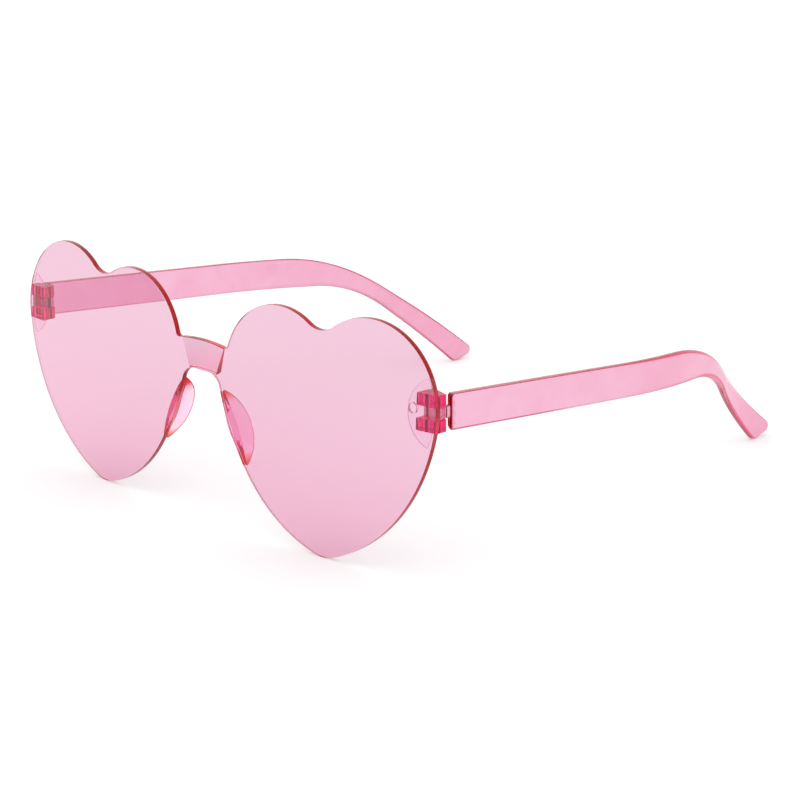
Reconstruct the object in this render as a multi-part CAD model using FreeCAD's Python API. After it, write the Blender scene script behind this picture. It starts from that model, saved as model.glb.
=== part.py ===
"""Rimless heart sunglasses: a clear front of two hearts, nose pads, hinge bases, screws and folding temples.

Millimetres. +X is the wearer's left, +Y runs back along the temples and +Z is up. The open glasses stand on
the two heart tips and the two temple tips. The origin lies on that surface, under the middle of the outline.
"""
import FreeCAD
import Part
import math
import os

from FreeCAD import Vector

# Front sheet, of even thickness on a sphere whose foremost point is the apex
LENS_THICKNESS = 1.3
FRONT_RADIUS = 575.0
APEX_Z = 13.0

# Heart outline about its own upright axis, standing on its tip
HEART_AXIS_X = 39.3
OUTER_LOBE_X = 14.15
OUTER_LOBE_Z = 39.2
OUTER_LOBE_RADIUS = 18.6
INNER_LOBE_X = 13.4
INNER_LOBE_Z = 38.5
INNER_LOBE_RADIUS = 17.7
OUTER_FLANK_RADIUS = 45.0
INNER_FLANK_RADIUS = 38.7
TIP_RADIUS = 9.8
NOTCH_RADIUS = 6.9

# Bridge between the hearts, with the nose arch below it and a brace behind it that thickens downwards
BRIDGE_TOP_Z = 43.65
BRIDGE_CROWN_RADIUS = 50.0
BRIDGE_FILLET = 1.0
ARCH_TOP_Z = 36.4
ARCH_TOP_WIDTH = 11.0
ARCH_FILLET = 4.2
ARCH_KNEE_X = 9.6
ARCH_KNEE_Z = 24.2
ARCH_KNEE_RADIUS = 15.0
ARCH_FOOT_X = 16.0
ARCH_FOOT_Z = 14.5
BRACE_TOP_THICKNESS = 0.15
BRACE_LOW_THICKNESS = 1.5
BRACE_TOP_WIDTH = 15.4
BRACE_LOW_WIDTH = 9.6

# Nose pads: domed leaves that stand back from the arch's edges and are flush with them
PAD_TOP_X = 5.95
PAD_TOP_Z = 32.8
PAD_FOOT_X = 14.05
PAD_FOOT_Z = 15.4
PAD_DEPTH = 5.1
PAD_SPLAY = 5.5
PAD_EDGE = 1.2
PAD_DOME = 1.9

# Hinge: a half-round flange let into the back of each heart, with two lugs, and a knuckle of the temple
# between the lugs
HINGE_Z = 39.45
FLANGE_RADIUS = 8.2
FLANGE_THICKNESS = 0.35
FLANGE_INSET = 1.0
FLANGE_CLEARANCE = 0.04
PEG_Z = 40.2
PEG_RADIUS = 1.15
PEG_FROM_EDGE = 6.4
PEG_CLEARANCE = 0.04
PIN_FROM_EDGE = 4.55
PIN_SETBACK = 2.55
LUG_RADIUS = 1.45
LUG_HEIGHT = 2.8
LUG_ROOT = 2.2
LUG_EDGE_INSET = 0.3
KNUCKLE_RADIUS = 1.35
KNUCKLE_HEIGHT = 2.6
KNUCKLE_CLEARANCE = 0.1
STOP_CLEARANCE = 0.2

# Hinge screw
SCREW_RADIUS = 0.6
SCREW_HEAD_RADIUS = 1.0
SCREW_HEAD_HEIGHT = 0.6
SCREW_SLOT_WIDTH = 0.3
SCREW_SLOT_DEPTH = 0.3
SCREW_SEAT_CLEARANCE = 0.03
SCREW_RUNNING_CLEARANCE = 0.05

# Temples, flush with the widest places of the hearts outside, and long from the apex to the heel's corner
TEMPLE_LENGTH = 150.0
TEMPLE_THICKNESS = 2.0
TEMPLE_HEIGHT = 8.2
TEMPLE_DROP = 4.92
TEMPLE_WALL = 1.0
TEMPLE_START = 1.6
POCKET_DEPTH = 2.3
BEND_INNER_RADIUS = 34.6
BEND_OUTER_LEAD = 5.3
BEND_OUTER_RADIUS = 56.3
BOW_LENGTH = 54.5
BOW_RADIUS = 130.6
FLARE_LAG = 11.2
FLARE_RADIUS = 56.8
TAIL_ANGLE = 41.25
TAIL_TOE_RADIUS = 3.3
TAIL_END_ANGLE = 12.7
TAIL_END_WIDTH = 9.0
TAIL_HEEL_RADIUS = 1.7

MARGIN = 5.0
TALL = 2 * HINGE_Z
DEEP = 3 * MARGIN


def unit(angle):
    """Direction in a plane, at an angle in degrees from its first axis."""
    return math.cos(math.radians(angle)), math.sin(math.radians(angle))


def towards(start, end, distance):
    """Point at a distance from start on the way to end."""
    return start + (end - start).normalize() * distance


def meeting_point(centre_a, radius_a, centre_b, radius_b, up):
    """Point at two given distances from two centres in the XZ plane, on the side that up points to."""
    span = (centre_b - centre_a).Length
    along = (span ** 2 + radius_a ** 2 - radius_b ** 2) / (2 * span)
    across = math.sqrt(radius_a ** 2 - along ** 2)
    axis = (centre_b - centre_a).normalize()
    normal = Vector(-axis.z, 0, axis.x)
    if normal.dot(up) < 0:
        normal = -normal
    return centre_a + axis * along + normal * across


def arc(centre, start, end):
    """Arc of under half a turn about a centre."""
    radius = (start - centre).Length
    middle = towards(centre, (start + end) * 0.5, radius)
    return Part.Arc(start, middle, end).toShape()


def rounded_face(corners):
    """Face of a polygon whose corners are given with their radii, 0 for a sharp one."""
    arcs = []
    for i, (corner, radius) in enumerate(corners):
        before = (corners[i - 1][0] - corner).normalize()
        after = (corners[(i + 1) % len(corners)][0] - corner).normalize()
        half = before.getAngle(after) / 2
        reach = radius / math.tan(half)
        bisector = (before + after).normalize()
        middle = corner + bisector * (radius / math.sin(half) - radius)
        arcs.append((corner + before * reach, middle, corner + after * reach, radius))
    edges = []
    for i, (start, middle, end, radius) in enumerate(arcs):
        if radius > 0:
            edges.append(Part.Arc(start, middle, end).toShape())
        edges.append(Part.makeLine(end, arcs[(i + 1) % len(arcs)][0]))
    return Part.Face(Part.Wire(edges))


def polygon_face(points):
    return Part.Face(Part.makePolygon(points + points[:1]))


def mirrored(shape):
    return shape.mirror(Vector(0, 0, 0), Vector(1, 0, 0))


def curved_ball(inward):
    """Ball whose skin lies a given depth behind the front's outer face."""
    return Part.makeSphere(FRONT_RADIUS - inward, Vector(0, FRONT_RADIUS, APEX_Z))


def surface_y(x, z, inward):
    """Depth of that skin at a place on the front."""
    radius = FRONT_RADIUS - inward
    return FRONT_RADIUS - math.sqrt(radius ** 2 - x ** 2 - (z - APEX_Z) ** 2)


def through(face):
    """Prism of a face in the XZ plane, from in front of the glasses to behind the hinges."""
    prism = face.extrude(Vector(0, 2 * DEEP, 0))
    prism.translate(Vector(0, -DEEP, 0))
    return prism


def heart_face():
    """Left heart: two lobes, two flanks, a round tip and a filleted notch, all tangent."""
    up = Vector(0, 0, 1)
    outer = Vector(HEART_AXIS_X + OUTER_LOBE_X, 0, OUTER_LOBE_Z)
    inner = Vector(HEART_AXIS_X - INNER_LOBE_X, 0, INNER_LOBE_Z)
    tip = Vector(HEART_AXIS_X, 0, TIP_RADIUS)
    outer_flank = meeting_point(
        tip, OUTER_FLANK_RADIUS - TIP_RADIUS, outer, OUTER_FLANK_RADIUS - OUTER_LOBE_RADIUS, up
    )
    inner_flank = meeting_point(
        tip, INNER_FLANK_RADIUS - TIP_RADIUS, inner, INNER_FLANK_RADIUS - INNER_LOBE_RADIUS, up
    )
    notch = meeting_point(
        outer, OUTER_LOBE_RADIUS + NOTCH_RADIUS, inner, INNER_LOBE_RADIUS + NOTCH_RADIUS, up
    )
    outer_top = towards(outer, notch, OUTER_LOBE_RADIUS)
    outer_side = towards(outer_flank, outer, OUTER_FLANK_RADIUS)
    outer_low = towards(outer_flank, tip, OUTER_FLANK_RADIUS)
    inner_low = towards(inner_flank, tip, INNER_FLANK_RADIUS)
    inner_side = towards(inner_flank, inner, INNER_FLANK_RADIUS)
    inner_top = towards(inner, notch, INNER_LOBE_RADIUS)
    return Part.Face(Part.Wire([
        arc(outer, outer_top, outer_side),
        arc(outer_flank, outer_side, outer_low),
        arc(tip, outer_low, inner_low),
        arc(inner_flank, inner_low, inner_side),
        arc(inner, inner_side, inner_top),
        arc(notch, inner_top, outer_top),
    ]))


def arch_prism():
    """Space of the nose arch, from above the nose to inside the hearts' lower flanks."""
    foot = Vector(ARCH_FOOT_X, 0, ARCH_FOOT_Z)
    knee = Vector(ARCH_KNEE_X, 0, ARCH_KNEE_Z)
    foot = towards(knee, foot, (foot - knee).Length + MARGIN)
    right_half = [
        (Vector(ARCH_TOP_WIDTH / 2, 0, ARCH_TOP_Z), ARCH_FILLET),
        (knee, ARCH_KNEE_RADIUS),
        (foot, 0),
    ]
    left_half = [(Vector(-point.x, 0, point.z), radius) for point, radius in reversed(right_half)]
    return through(rounded_face(right_half + left_half))


def bridge_prism():
    """Crowned bar that runs into both hearts, with the nose arch cut out below it."""
    half = ARCH_FOOT_X
    shoulder = BRIDGE_TOP_Z - BRIDGE_CROWN_RADIUS + math.sqrt(BRIDGE_CROWN_RADIUS ** 2 - half ** 2)
    crown = Part.Arc(Vector(half, 0, shoulder), Vector(0, 0, BRIDGE_TOP_Z), Vector(-half, 0, shoulder))
    sides = Part.makePolygon([
        Vector(-half, 0, shoulder),
        Vector(-half, 0, ARCH_FOOT_Z),
        Vector(half, 0, ARCH_FOOT_Z),
        Vector(half, 0, shoulder),
    ])
    return through(Part.Face(Part.Wire([crown.toShape()] + sides.Edges))).cut(arch_prism())


def make_front(hinge_seat):
    """One curved sheet with both hearts and the bridge, thicker behind the bridge, with two hinge seats."""
    heart = through(heart_face())
    bridge = bridge_prism()
    outline = heart.fuse([mirrored(heart), bridge]).removeSplitter()
    corners = []
    for edge in outline.Edges:
        start, end = (vertex.Point for vertex in edge.Vertexes[:2])
        upright = math.hypot(start.x - end.x, start.z - end.z) < 1e-6
        if upright and ARCH_TOP_Z < start.z < BRIDGE_TOP_Z and abs(start.x) < HEART_AXIS_X - INNER_LOBE_X:
            corners.append(edge)
    outline = outline.makeFillet(BRIDGE_FILLET, corners)
    sheet = outline.common(curved_ball(0)).cut(curved_ball(LENS_THICKNESS))
    drop = BRIDGE_TOP_Z - ARCH_TOP_Z
    low_z = ARCH_TOP_Z - ARCH_FILLET / 2
    share = (BRIDGE_TOP_Z - low_z) / drop
    low_half = (BRACE_TOP_WIDTH + (BRACE_LOW_WIDTH - BRACE_TOP_WIDTH) * share) / 2
    sides = through(polygon_face([
        Vector(-BRACE_TOP_WIDTH / 2, 0, BRIDGE_TOP_Z),
        Vector(BRACE_TOP_WIDTH / 2, 0, BRIDGE_TOP_Z),
        Vector(low_half, 0, low_z),
        Vector(-low_half, 0, low_z),
    ]))
    top_y = surface_y(0, BRIDGE_TOP_Z, LENS_THICKNESS) + BRACE_TOP_THICKNESS
    low_y = surface_y(0, ARCH_TOP_Z, LENS_THICKNESS) + BRACE_LOW_THICKNESS
    wedge = polygon_face([
        Vector(-DEEP, -DEEP, BRIDGE_TOP_Z),
        Vector(-DEEP, top_y, BRIDGE_TOP_Z),
        Vector(-DEEP, top_y + (low_y - top_y) * share, low_z),
        Vector(-DEEP, -DEEP, low_z),
    ]).extrude(Vector(2 * DEEP, 0, 0))
    brace = sides.common(wedge).common(outline).common(curved_ball(LENS_THICKNESS))
    return sheet.fuse(brace).removeSplitter().cut([hinge_seat, mirrored(hinge_seat)])


def make_nose_pad():
    """Left pad: a round leaf bonded to the back of the sheet, flush with the arch and domed behind."""
    top = Vector(PAD_TOP_X, surface_y(PAD_TOP_X, PAD_TOP_Z, LENS_THICKNESS), PAD_TOP_Z)
    foot = Vector(PAD_FOOT_X, surface_y(PAD_FOOT_X, PAD_FOOT_Z, LENS_THICKNESS), PAD_FOOT_Z)
    chord = foot - top
    radius = (chord.Length ** 2 / 4 + PAD_DEPTH ** 2) / (2 * PAD_DEPTH)
    straight, sideways = unit(PAD_SPLAY)
    across = chord.cross(Vector(0, 1, 0)).normalize()
    if across.x < 0:
        across = -across
    back = across * sideways + Vector(0, straight, 0)
    outward = across * straight - Vector(0, sideways, 0)
    centre = (top + foot) * 0.5 + back * (PAD_DEPTH - radius)
    leaf = Part.makeCylinder(radius, PAD_EDGE, centre, outward)
    dome_radius = (radius ** 2 + PAD_DOME ** 2) / (2 * PAD_DOME)
    dome = Part.makeSphere(dome_radius, centre + outward * (PAD_EDGE + PAD_DOME - dome_radius))
    dome = dome.common(Part.makeCylinder(radius, PAD_EDGE + PAD_DOME, centre, outward))
    return leaf.fuse(dome).common(curved_ball(LENS_THICKNESS)).removeSplitter().cut(arch_prism())


EDGE_X = HEART_AXIS_X + OUTER_LOBE_X + OUTER_LOBE_RADIUS
PIN_X = EDGE_X - PIN_FROM_EDGE
PIN_Y = surface_y(PIN_X, HINGE_Z, LENS_THICKNESS) + PIN_SETBACK
STACK_HEIGHT = 2 * (LUG_HEIGHT + KNUCKLE_CLEARANCE) + KNUCKLE_HEIGHT
STACK_LOW_Z = HINGE_Z - STACK_HEIGHT / 2
STACK_TOP_Z = HINGE_Z + STACK_HEIGHT / 2


def pin_cylinder(radius, low, high):
    """Cylinder about the left hinge's axis, between two heights."""
    return Part.makeCylinder(radius, high - low, Vector(PIN_X, PIN_Y, low))


def make_foot(flange_clearance, peg_clearance):
    """Flange in the back of the sheet and its peg through the sheet, or with clearances their seat."""
    back = Vector(0, 1, 0)
    edge = Vector(EDGE_X, -DEEP, HINGE_Z)
    disc = Part.makeCylinder(FLANGE_RADIUS + flange_clearance, 2 * DEEP, edge, back)
    footprint = through(heart_face()).translated(Vector(flange_clearance - FLANGE_INSET, 0, 0))
    flange = disc.common(footprint).common(curved_ball(LENS_THICKNESS - FLANGE_THICKNESS))
    peg_place = Vector(EDGE_X - PEG_FROM_EDGE, -DEEP, PEG_Z)
    peg = Part.makeCylinder(PEG_RADIUS + peg_clearance, 2 * DEEP, peg_place, back)
    return flange.fuse(peg.common(curved_ball(-peg_clearance)))


def make_hinge_base():
    """Left base: a flange let into the sheet, a peg through it and two lugs with the screw's bores."""
    behind = curved_ball(LENS_THICKNESS)
    foot = make_foot(0, 0).cut(behind)
    inside = PIN_X - LUG_RADIUS
    edge = EDGE_X - LUG_EDGE_INSET
    edge_back = surface_y(edge, HINGE_Z, LENS_THICKNESS) + LUG_ROOT
    to_edge = Vector(edge - PIN_X, edge_back - PIN_Y, 0)
    lean = math.degrees(math.atan2(to_edge.y, to_edge.x))
    opening = math.degrees(math.acos(LUG_RADIUS / to_edge.Length))
    right, back = unit(lean + opening)
    flank = Vector(PIN_X + LUG_RADIUS * right, PIN_Y + LUG_RADIUS * back, 0)
    plan = Part.Wire([
        Part.Arc(Vector(inside, PIN_Y, 0), Vector(PIN_X, PIN_Y + LUG_RADIUS, 0), flank).toShape(),
    ] + Part.makePolygon([
        flank, Vector(edge, edge_back, 0), Vector(edge, 0, 0), Vector(inside, 0, 0), Vector(inside, PIN_Y, 0),
    ]).Edges)
    lug = Part.Face(plan).extrude(Vector(0, 0, LUG_HEIGHT))
    low = lug.translated(Vector(0, 0, STACK_LOW_Z))
    high = lug.translated(Vector(0, 0, STACK_TOP_Z - LUG_HEIGHT))
    lugs = low.fuse(high).common(behind)
    bore = pin_cylinder(SCREW_RADIUS + SCREW_SEAT_CLEARANCE, STACK_LOW_Z - MARGIN, STACK_TOP_Z + MARGIN)
    seat = pin_cylinder(SCREW_HEAD_RADIUS + SCREW_SEAT_CLEARANCE, STACK_TOP_Z - SCREW_HEAD_HEIGHT, TALL)
    return foot.fuse(lugs).removeSplitter().cut([bore, seat])


def make_hinge_screw():
    """Left screw: a slotted head sunk in the upper lug on a shank that ends flush below the lower lug."""
    shank = pin_cylinder(SCREW_RADIUS, STACK_LOW_Z, STACK_TOP_Z)
    head = pin_cylinder(SCREW_HEAD_RADIUS, STACK_TOP_Z - SCREW_HEAD_HEIGHT, STACK_TOP_Z)
    slot = Part.makeBox(
        4 * SCREW_HEAD_RADIUS, SCREW_SLOT_WIDTH, 2 * SCREW_SLOT_DEPTH,
        Vector(PIN_X - 2 * SCREW_HEAD_RADIUS, PIN_Y - SCREW_SLOT_WIDTH / 2, STACK_TOP_Z - SCREW_SLOT_DEPTH),
    )
    return shank.fuse(head).removeSplitter().cut(slot)


BAR_SLOPE = math.tan(math.radians(TEMPLE_DROP))
BAR_HALF = TEMPLE_HEIGHT / 2 / math.cos(math.radians(TEMPLE_DROP))


def bar_middle(y):
    """Height of a temple's straight centre line, which passes the hinge's middle."""
    return HINGE_Z - (y - PIN_Y) * BAR_SLOPE


def tail_corners():
    """Inner bend, toe and heel of a temple's side view before rounding, with the toe's round on the floor."""
    turn = math.radians(TAIL_ANGLE + TAIL_END_ANGLE) / 2
    toe_z = TAIL_TOE_RADIUS * (1 - math.cos(math.radians(TAIL_ANGLE) - turn) / math.cos(turn))
    reach, rise = unit(TAIL_END_ANGLE)
    heel = Vector(0, TEMPLE_LENGTH, toe_z + rise * TAIL_END_WIDTH)
    toe = Vector(0, TEMPLE_LENGTH - reach * TAIL_END_WIDTH, toe_z)
    steep = math.tan(math.radians(TAIL_ANGLE))
    bend_y = toe.y - (bar_middle(toe.y) - BAR_HALF - toe_z) / (steep - BAR_SLOPE)
    return Vector(0, bend_y, bar_middle(bend_y) - BAR_HALF), toe, heel


def temple_profile():
    """Side view of a temple: a straight bar that drops, bends down behind the ear and widens to a toe."""
    start = PIN_Y + TEMPLE_START
    bend, toe, heel = tail_corners()
    outer_y = bend.y - BEND_OUTER_LEAD
    return rounded_face([
        (Vector(0, start, bar_middle(start) - BAR_HALF), 0),
        (bend, BEND_INNER_RADIUS),
        (toe, TAIL_TOE_RADIUS),
        (heel, TAIL_HEEL_RADIUS),
        (Vector(0, outer_y, bar_middle(outer_y) + BAR_HALF), BEND_OUTER_RADIUS),
        (Vector(0, start, bar_middle(start) + BAR_HALF), 0),
    ])


def temple_plan():
    """Top view of a temple: straight behind the hinge, bowed inwards, then turned straight back again."""
    bow_start_y = tail_corners()[0].y + FLARE_LAG - BOW_LENGTH
    bow_turn = math.degrees(math.asin(BOW_LENGTH / BOW_RADIUS))
    bow_centre = Vector(EDGE_X - BOW_RADIUS, bow_start_y, 0)
    out, back = unit(bow_turn)
    flare_centre = bow_centre + Vector(out, back, 0) * (BOW_RADIUS + FLARE_RADIUS)

    def line(inset):
        """Bow and flare at a depth below the outer face."""
        start = Vector(EDGE_X - inset, bow_start_y, 0)
        change = bow_centre + Vector(out, back, 0) * (BOW_RADIUS - inset)
        end = flare_centre - Vector(FLARE_RADIUS + inset, 0, 0)
        return start, change, end

    start, change, end = line(0)
    inner_start, inner_change, inner_end = line(TEMPLE_THICKNESS)
    ahead = Vector(0, -bow_start_y, 0)
    behind = Vector(0, FLARE_RADIUS, 0)
    return Part.Face(Part.Wire([
        Part.makeLine(start + ahead, start),
        arc(bow_centre, start, change),
        arc(flare_centre, change, end),
        Part.makeLine(end, end + behind),
        Part.makeLine(end + behind, inner_end + behind),
        Part.makeLine(inner_end + behind, inner_end),
        arc(flare_centre, inner_end, inner_change),
        arc(bow_centre, inner_change, inner_start),
        Part.makeLine(inner_start, inner_start + ahead),
        Part.makeLine(inner_start + ahead, start + ahead),
    ]))


def make_temple():
    """Left temple: the bar with a pocket round the lugs, and the knuckle that turns on the screw."""
    outer = EDGE_X
    side = temple_profile().extrude(Vector(outer + MARGIN, 0, 0))
    bar = temple_plan().extrude(Vector(0, 0, TALL)).common(side)
    pocket_y = PIN_Y + POCKET_DEPTH
    pocket = Part.makeBox(outer - TEMPLE_WALL, pocket_y, TALL)
    joint_y = pocket_y + TEMPLE_WALL
    joint_x = outer - TEMPLE_WALL / 2
    stop_y = surface_y(EDGE_X, HINGE_Z, LENS_THICKNESS) + STOP_CLEARANCE
    arm = polygon_face([
        Vector(PIN_X, PIN_Y - KNUCKLE_RADIUS, 0),
        Vector(joint_x, stop_y, 0),
        Vector(joint_x, joint_y, 0),
        Vector(outer - TEMPLE_THICKNESS, joint_y, 0),
        Vector(outer - TEMPLE_THICKNESS, PIN_Y + KNUCKLE_RADIUS, 0),
        Vector(PIN_X, PIN_Y + KNUCKLE_RADIUS, 0),
    ]).extrude(Vector(0, 0, KNUCKLE_HEIGHT))
    low = HINGE_Z - KNUCKLE_HEIGHT / 2
    arm.translate(Vector(0, 0, low))
    barrel = pin_cylinder(KNUCKLE_RADIUS, low, low + KNUCKLE_HEIGHT)
    bore = pin_cylinder(SCREW_RADIUS + SCREW_RUNNING_CLEARANCE, low - MARGIN, low + KNUCKLE_HEIGHT + MARGIN)
    return bar.cut(pocket).fuse([arm, barrel]).removeSplitter().cut(bore)


def write_parts():
    """Centres the glasses over the origin and writes each piece, the right-hand ones mirrored."""
    temple = make_temple()
    left_pieces = {
        "nose_pad": make_nose_pad(),
        "hinge_base": make_hinge_base(),
        "hinge_screw": make_hinge_screw(),
        "temple": temple,
    }
    pieces = {"front_lens": make_front(make_foot(FLANGE_CLEARANCE, PEG_CLEARANCE))}
    for name, shape in left_pieces.items():
        pieces["left_" + name] = shape
        pieces["right_" + name] = mirrored(shape)
    foremost = pieces["front_lens"].optimalBoundingBox(False).YMin
    hindmost = temple.optimalBoundingBox(False).YMax
    centring = Vector(0, -(foremost + hindmost) / 2, 0)
    os.makedirs("parts", exist_ok=True)
    for name, shape in pieces.items():
        shape.translated(centring).exportStep(f"parts/{name}.step")


write_parts()
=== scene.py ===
"""Heart sunglasses in tinted clear plastic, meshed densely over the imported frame, on a white floor."""

import math

import bmesh
import bpy
import numpy as np
from mathutils import Matrix, Vector
from mathutils.geometry import delaunay_2d_cdt


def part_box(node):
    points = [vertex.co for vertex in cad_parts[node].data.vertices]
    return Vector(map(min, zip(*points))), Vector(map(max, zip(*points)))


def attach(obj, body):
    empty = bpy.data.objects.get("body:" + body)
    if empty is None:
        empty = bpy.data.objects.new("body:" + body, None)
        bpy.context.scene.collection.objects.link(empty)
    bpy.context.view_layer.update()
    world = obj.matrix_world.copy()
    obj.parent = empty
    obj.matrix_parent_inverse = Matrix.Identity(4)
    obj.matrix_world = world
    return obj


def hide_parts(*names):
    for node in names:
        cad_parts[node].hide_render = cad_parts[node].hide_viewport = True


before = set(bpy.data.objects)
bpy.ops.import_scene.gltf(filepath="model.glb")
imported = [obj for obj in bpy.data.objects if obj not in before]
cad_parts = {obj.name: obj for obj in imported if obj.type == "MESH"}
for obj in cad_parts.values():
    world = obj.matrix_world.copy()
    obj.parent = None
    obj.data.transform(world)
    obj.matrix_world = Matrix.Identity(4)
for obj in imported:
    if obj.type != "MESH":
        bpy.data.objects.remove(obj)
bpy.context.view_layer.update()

MM = 0.001

# Sizes of the part's source, in millimetres, with Y counted from the front's apex
LENS_THICKNESS = 1.3
FRONT_RADIUS = 575.0
APEX_Z = 13.0
HEART_AXIS_X = 39.3
OUTER_LOBE = Vector((HEART_AXIS_X + 14.15, 39.2))
OUTER_LOBE_RADIUS = 18.6
INNER_LOBE = Vector((HEART_AXIS_X - 13.4, 38.5))
INNER_LOBE_RADIUS = 17.7
OUTER_FLANK_RADIUS = 45.0
INNER_FLANK_RADIUS = 38.7
TIP_RADIUS = 9.8
NOTCH_RADIUS = 6.9
EDGE_X = OUTER_LOBE.x + OUTER_LOBE_RADIUS
BRIDGE_TOP_Z = 43.65
BRIDGE_CROWN_RADIUS = 50.0
BRIDGE_FILLET = 1.0
ARCH_TOP_Z = 36.4
ARCH_TOP_HALF = 5.5
ARCH_FILLET = 4.2
ARCH_KNEE = Vector((9.6, 24.2))
ARCH_KNEE_RADIUS = 15.0
ARCH_FOOT = Vector((16.0, 14.5))
BRACE_TOP_THICKNESS = 0.15
BRACE_LOW_THICKNESS = 1.5
BRACE_TOP_HALF = 7.7
BRACE_LOW_HALF = 4.8
PAD_TOP = Vector((5.95, 32.8))
PAD_FOOT = Vector((14.05, 15.4))
PAD_DEPTH = 5.1
PAD_SPLAY = math.radians(5.5)
PAD_EDGE = 1.2
PAD_DOME = 1.9
HINGE_Z = 39.45
FLANGE_RADIUS = 8.2
FLANGE_THICKNESS = 0.35
FLANGE_INSET = 1.0
PEG = Vector((EDGE_X - 6.4, 40.2))
PEG_RADIUS = 1.15
PIN_FROM_EDGE = 4.55
PIN_SETBACK = 2.55
LUG_RADIUS = 1.45
LUG_HEIGHT = 2.8
LUG_ROOT = 2.2
LUG_EDGE_INSET = 0.3
KNUCKLE_RADIUS = 1.35
KNUCKLE_HEIGHT = 2.6
KNUCKLE_CLEARANCE = 0.1
STOP_CLEARANCE = 0.2
SCREW_RADIUS = 0.6
SCREW_HEAD_RADIUS = 1.0
SCREW_HEAD_HEIGHT = 0.6
SCREW_SLOT_WIDTH = 0.3
SCREW_SLOT_DEPTH = 0.3
SEAT_CLEARANCE = 0.03
RUNNING_CLEARANCE = 0.05
TEMPLE_LENGTH = 150.0
TEMPLE_THICKNESS = 2.0
TEMPLE_HEIGHT = 8.2
TEMPLE_DROP = math.radians(4.92)
TEMPLE_WALL = 1.0
TEMPLE_START = 1.6
POCKET_DEPTH = 2.3
BEND_INNER_RADIUS = 34.6
BEND_OUTER_LEAD = 5.3
BEND_OUTER_RADIUS = 56.3
BOW_LENGTH = 54.5
BOW_RADIUS = 130.6
FLARE_LAG = 11.2
FLARE_RADIUS = 56.8
TAIL_ANGLE = math.radians(41.25)
TAIL_TOE_RADIUS = 3.3
TAIL_END_ANGLE = math.radians(12.7)
TAIL_END_WIDTH = 9.0
TAIL_HEEL_RADIUS = 1.7

# Fineness of the meshes. ROW_SHARE and EDGE_GAP are shares of a face's pitch, CHUNK is how many points are
# compared at once, and WELD is in metres.
STEP = 0.4
CREASE_STEP = 0.3
ARC_POINTS = 9
ROUND = 48
BEVEL_STEPS = 4
ROW_SHARE = 0.87
EDGE_GAP = 0.55
CHUNK = 200
LEAST_AREA = 2e-5
MERGE = 1e-6
WELD = 1e-8
SHARP_ANGLE = math.radians(32)

# How far outlines are drawn in from the source's, width of the support ring inside each rounded edge, and
# run of the steps at the temples' pockets and, steeper, at the hinge seats and the brace
HAIR = 0.012
SUPPORT = 0.12
CREASE = 0.08
SEAT_WALL = 0.02

# How far bonded pieces reach into the sheet so that no air shows, growth of the hollows that take them, and
# overlap of bodies that are joined to one
BOND = 0.015
SEAT_GROWTH = -0.04
OVERLAP = 0.1

# Corners and least thickness of the pads, and corners at the bars' front ends
PAD_CORNER = 0.5
PAD_LEAST = 0.4
BAR_CORNER = 0.65

# Painted shade on the faces, a deep red that stands for light led a long way inside the plastic, with frost
# that follows it:
# each START is where it begins and each RUN the way to its full share. On cut edges they are cosines of the
# angle from the flat side's normal.
EDGE_SHADE_START = 0.85
EDGE_SHADE_RUN = 0.35
PAD_SHADE_START = 0.62
PAD_SHADE_RUN = 0.25
LUG_SHADE_START = 0.05
LUG_SHADE_RUN = 0.3
KNUCKLE_SHADE_SHARE = 0.55
KNUCKLE_MARGIN = 0.1
SEAT_MARGIN = 0.2
RIM_MARGIN = 0.3


def surface_y(x, z, inward):
    """Depth of the front's skin, or of one a given way behind it."""
    radius = FRONT_RADIUS - inward
    return FRONT_RADIUS - math.sqrt(radius ** 2 - x ** 2 - (z - APEX_Z) ** 2)


PIN = Vector((EDGE_X - PIN_FROM_EDGE, 0))
PIN.y = surface_y(PIN.x, HINGE_Z, LENS_THICKNESS) + PIN_SETBACK
SHIFT = PIN.y - sum(corner.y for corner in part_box("left_hinge_screw")) / 2 / MM
STACK_HEIGHT = 2 * (LUG_HEIGHT + KNUCKLE_CLEARANCE) + KNUCKLE_HEIGHT
STACK_LOW_Z = HINGE_Z - STACK_HEIGHT / 2
STACK_TOP_Z = HINGE_Z + STACK_HEIGHT / 2


def row(x, y, z):
    """Point of the row frame in metres, from source millimetres."""
    return Vector((x, y - SHIFT, z)) * MM


def upright(x, z, y):
    """The same for a place on the front's plane and a depth."""
    return row(x, y, z)


def towards(start, end, distance):
    return start + (end - start).normalized() * distance


def meeting_point(a, radius_a, b, radius_b, up):
    """Point at two distances from two centres, on the side that up points to."""
    axis = (b - a).normalized()
    span = (b - a).length
    along = (span ** 2 + radius_a ** 2 - radius_b ** 2) / (2 * span)
    across = math.sqrt(radius_a ** 2 - along ** 2)
    normal = Vector((-axis.y, axis.x))
    if normal.dot(up) < 0:
        normal = -normal
    return a + axis * along + normal * across


def run(start, end):
    """Points on a straight way, without its end."""
    count = max(1, math.ceil((end - start).length / STEP))
    return [start.lerp(end, i / count) for i in range(count)]


def arc(centre, start, end):
    """Points on an arc of under half a turn, without its end."""
    first = math.atan2(start.y - centre.y, start.x - centre.x)
    last = math.atan2(end.y - centre.y, end.x - centre.x)
    turn = (last - first + math.pi) % (2 * math.pi) - math.pi
    radius = (start - centre).length
    count = max(2, math.ceil(abs(turn) * max(radius / STEP, ARC_POINTS)))
    angles = [first + turn * i / count for i in range(count)]
    return [centre + Vector((math.cos(a), math.sin(a))) * radius for a in angles]


def circle(centre, radius):
    return [
        centre + Vector((math.cos(a), math.sin(a))) * radius
        for a in (2 * math.pi * i / ROUND for i in range(ROUND))
    ]


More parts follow.
